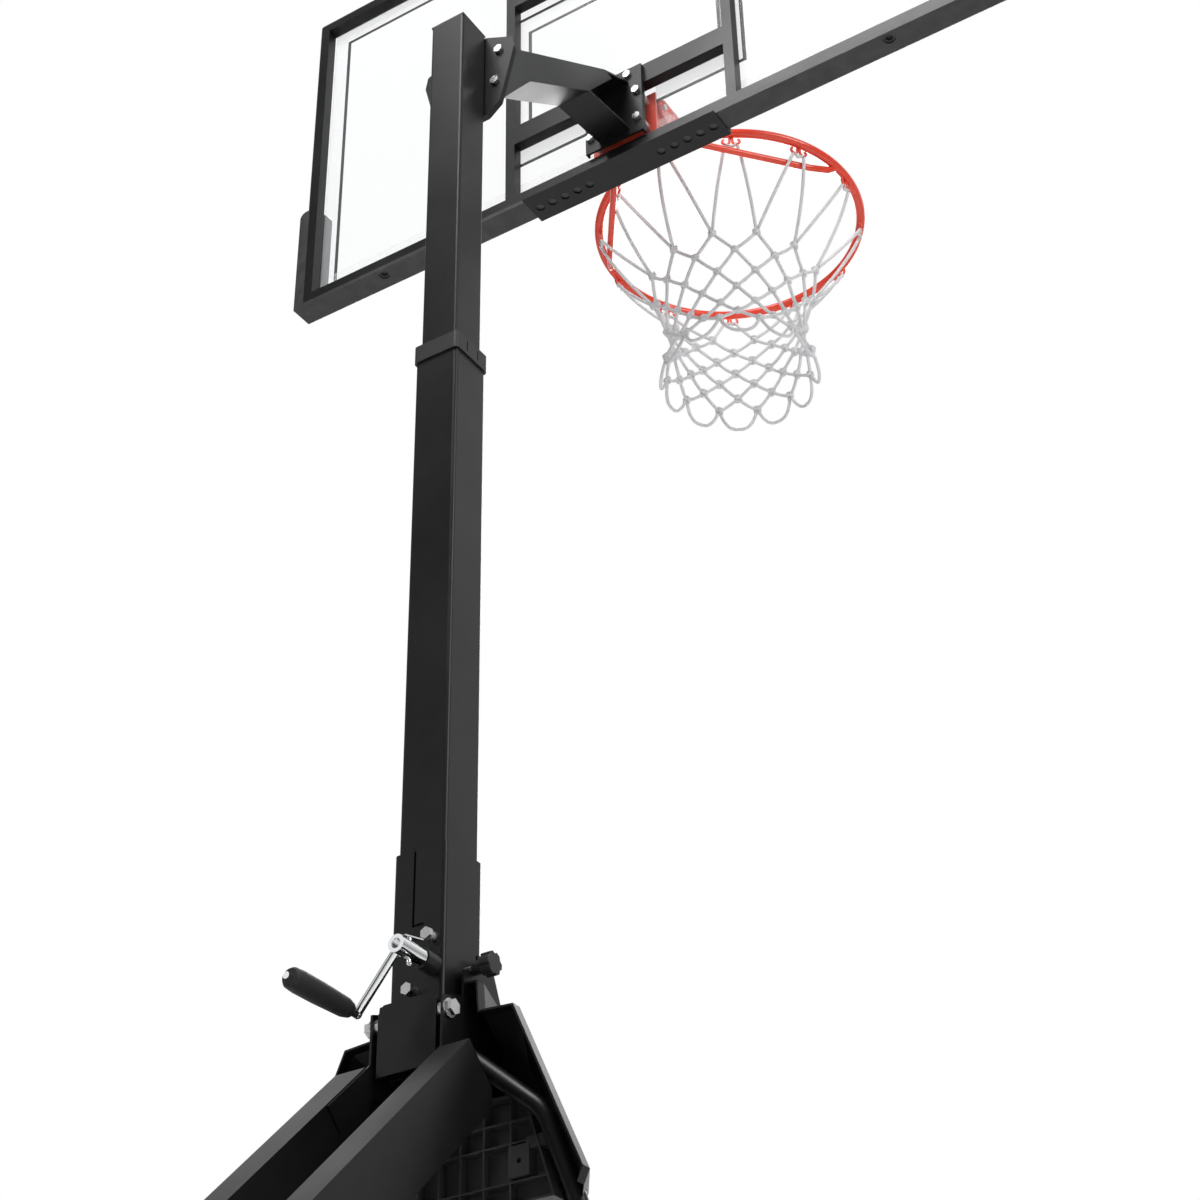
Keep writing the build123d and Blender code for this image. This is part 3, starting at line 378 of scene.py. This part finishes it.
net = Builder()
knots = []
for row, (z, radius) in enumerate(ROWS):
    ring_knots = []
    for k in range(HOOKS):
        angle = 2 * math.pi * (k + (0.5 if row % 2 == 0 else 0.0)) / HOOKS
        jitter = random.uniform(-0.002, 0.002)
        ring_knots.append(around(angle + random.uniform(-0.008, 0.008), radius, z + jitter))
    knots.append(ring_knots)
for k, angle in enumerate(HOOK_ANGLES):
    left = around(angle, HOOK_R, 3.0262, -0.0100)
    right = around(angle, HOOK_R, 3.0262, 0.0100)
    saddle = [around(angle, HOOK_R, HOOK_TURN_Z, -0.006),
              around(angle, RING_R - 0.006, HOOK_TURN_Z),
              around(angle, HOOK_R, HOOK_TURN_Z, 0.006)]
    first = span(knots[0][k - 1], left, -0.004, 0.009, 10)
    second = span(right, knots[0][k], -0.004, 0.009, 10)
    net.tube(first + saddle + second, CORD, 9)
for row in range(len(ROWS) - 1):
    for k in range(HOOKS):
        start = knots[row][k]
        if row % 2 == 0:
            ends = (knots[row + 1][k], knots[row + 1][(k + 1) % HOOKS])
        else:
            ends = (knots[row + 1][k], knots[row + 1][k - 1])
        for end in ends:
            sag = 0.001 + random.uniform(0, 0.002)
            bow = random.uniform(-0.001, 0.002)
            net.tube(span(start, end, sag, bow), CORD, 9)
last = knots[-1]
for k in range(HOOKS):
    start, end = last[k], last[(k + 1) % HOOKS]
    outward = outward_at((start + end) / 2)
    drop = 0.036 + random.uniform(-0.003, 0.003)
    loop = []
    for i in range(17):
        t = i / 16
        hang = 1 - abs(2 * t - 1) ** 2.6
        wide = 0.5 + (t - 0.5) * (1 + 0.10 * math.sin(math.pi * t))
        loop.append(start.lerp(end, wide) + outward * 0.012 * hang - UP * (drop * hang))
    net.tube(loop, CORD, 9)
for ring_knots in knots:
    for point in ring_knots:
        outward = outward_at(point)
        across = Vector((-outward.y, outward.x, 0))
        turn = []
        for i in range(26):
            a = 2 * math.pi * 2 * i / 25
            turn.append(point + across * math.cos(a) * 0.0050 + outward * math.sin(a) * 0.0042
                        + UP * (0.0052 * (i / 12.5 - 1)))
        net.tube(turn, CORD * 0.92, 7)
        net.tube([point + UP * 0.007 - outward * 0.001, point + outward * 0.0055, point - UP * 0.007],
                 CORD, 7)
net_piece = net.make("knotted_net", MATS["net_cord"], "rim")
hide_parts("net")


# ---- breakaway springs -------------------------------------------------------------------------
COIL_R, COIL_WIRE, COIL_TURNS = 0.0083, 0.0016, 8
COIL_X, COIL_Y = 0.028, -0.530
COIL_LOW, COIL_LENGTH = 2.9938, 0.0404

coils = Builder()
for side in (-1, 1):
    path = []
    for step in range(161):
        t = step / 160
        a = 2 * math.pi * COIL_TURNS * t
        path.append((side * COIL_X + COIL_R * math.cos(a), COIL_Y + COIL_R * math.sin(a),
                     COIL_LOW + COIL_LENGTH * t))
    coils.tube(path, COIL_WIRE, 7)
spring_piece = coils.make("breakaway_coils", MATS["spring_steel"], "upper")
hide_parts("rim_springs")
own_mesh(spring_piece)


# ---- floor, light, camera ----------------------------------------------------------------------
mesh = bpy.data.meshes.new("floor")
mesh.from_pydata([(-30, -30, 0), (30, -30, 0), (30, 30, 0), (-30, 30, 0)], [], [(0, 1, 2, 3)])
floor = bpy.data.objects.new("floor", mesh)
bpy.context.scene.collection.objects.link(floor)
pale = finish_of("pale_floor", (0.80, 0.80, 0.80), 0.7, grain=60, grain_depth=0.0001, vary=0.02)
mesh.materials.append(pale)

world = bpy.data.worlds.new("studio")
bpy.context.scene.world = world
world.use_nodes = True
tree = world.node_tree
background = tree.nodes["Background"]
coords = tree.nodes.new("ShaderNodeTexCoord")
dot = tree.nodes.new("ShaderNodeVectorMath")
dot.operation = "DOT_PRODUCT"
dot.inputs[1].default_value = (0.16, -0.80, 0.58)
ramp = tree.nodes.new("ShaderNodeValToRGB")
ramp.color_ramp.elements[0].position = 0.35
ramp.color_ramp.elements[0].color = (0.11, 0.11, 0.112, 1)
ramp.color_ramp.elements[1].position = 0.90
ramp.color_ramp.elements[1].color = (1, 1, 1, 1)
tree.links.new(coords.outputs["Generated"], dot.inputs[0])
tree.links.new(dot.outputs["Value"], ramp.inputs["Fac"])
tree.links.new(ramp.outputs["Color"], background.inputs["Color"])
background.inputs["Strength"].default_value = 1.0
plain = tree.nodes.new("ShaderNodeBackground")
plain.inputs["Color"].default_value = (1, 1, 1, 1)
rays = tree.nodes.new("ShaderNodeLightPath")
chosen = tree.nodes.new("ShaderNodeMixShader")
tree.links.new(rays.outputs["Is Camera Ray"], chosen.inputs["Fac"])
tree.links.new(background.outputs["Background"], chosen.inputs[1])
tree.links.new(plain.outputs["Background"], chosen.inputs[2])
tree.links.new(chosen.outputs["Shader"], tree.nodes["World Output"].inputs["Surface"])


def area(name, place, target, size, power):
    """Square area lamp at a place, turned towards a target."""
    lamp = bpy.data.lights.new(name, "AREA")
    lamp.shape = "SQUARE"
    lamp.size = size
    lamp.energy = power
    obj = bpy.data.objects.new(name, lamp)
    bpy.context.scene.collection.objects.link(obj)
    obj.location = place
    obj.rotation_euler = (Vector(target) - Vector(place)).to_track_quat("-Z", "Y").to_euler()


area("key", (-4.5, 0.6, 4.2), (0, -0.3, 2.2), 2.5, 120)
area("fill", (4.0, 3.5, 3.0), (0, 0, 1.6), 3.0, 24)
area("front", (1.5, -5.0, 5.0), (0, -0.6, 2.6), 3.0, 200)
area("top", (0.0, 1.6, 5.2), (0, 0.5, 0.9), 2.0, 120)

camera = bpy.data.objects.new("camera", bpy.data.cameras.new("camera"))
bpy.context.scene.collection.objects.link(camera)
camera.data.lens = 68.17
camera.data.sensor_width = 36.0
camera.data.clip_end = 60
right = Vector((-0.84391297, -0.53617132, -0.018199))
up = Vector((-0.31325447, 0.4649437, 0.82806944))
back = Vector((-0.43552558, 0.70451946, -0.56033008))
turn = Matrix((right, up, back)).transposed().to_4x4()
camera.matrix_world = Matrix.Translation((-1.38333, 1.87380, 0.19041)) @ turn
bpy.context.scene.camera = camera
bpy.context.scene.view_settings.view_transform = "Standard"
bpy.context.view_layer.update()
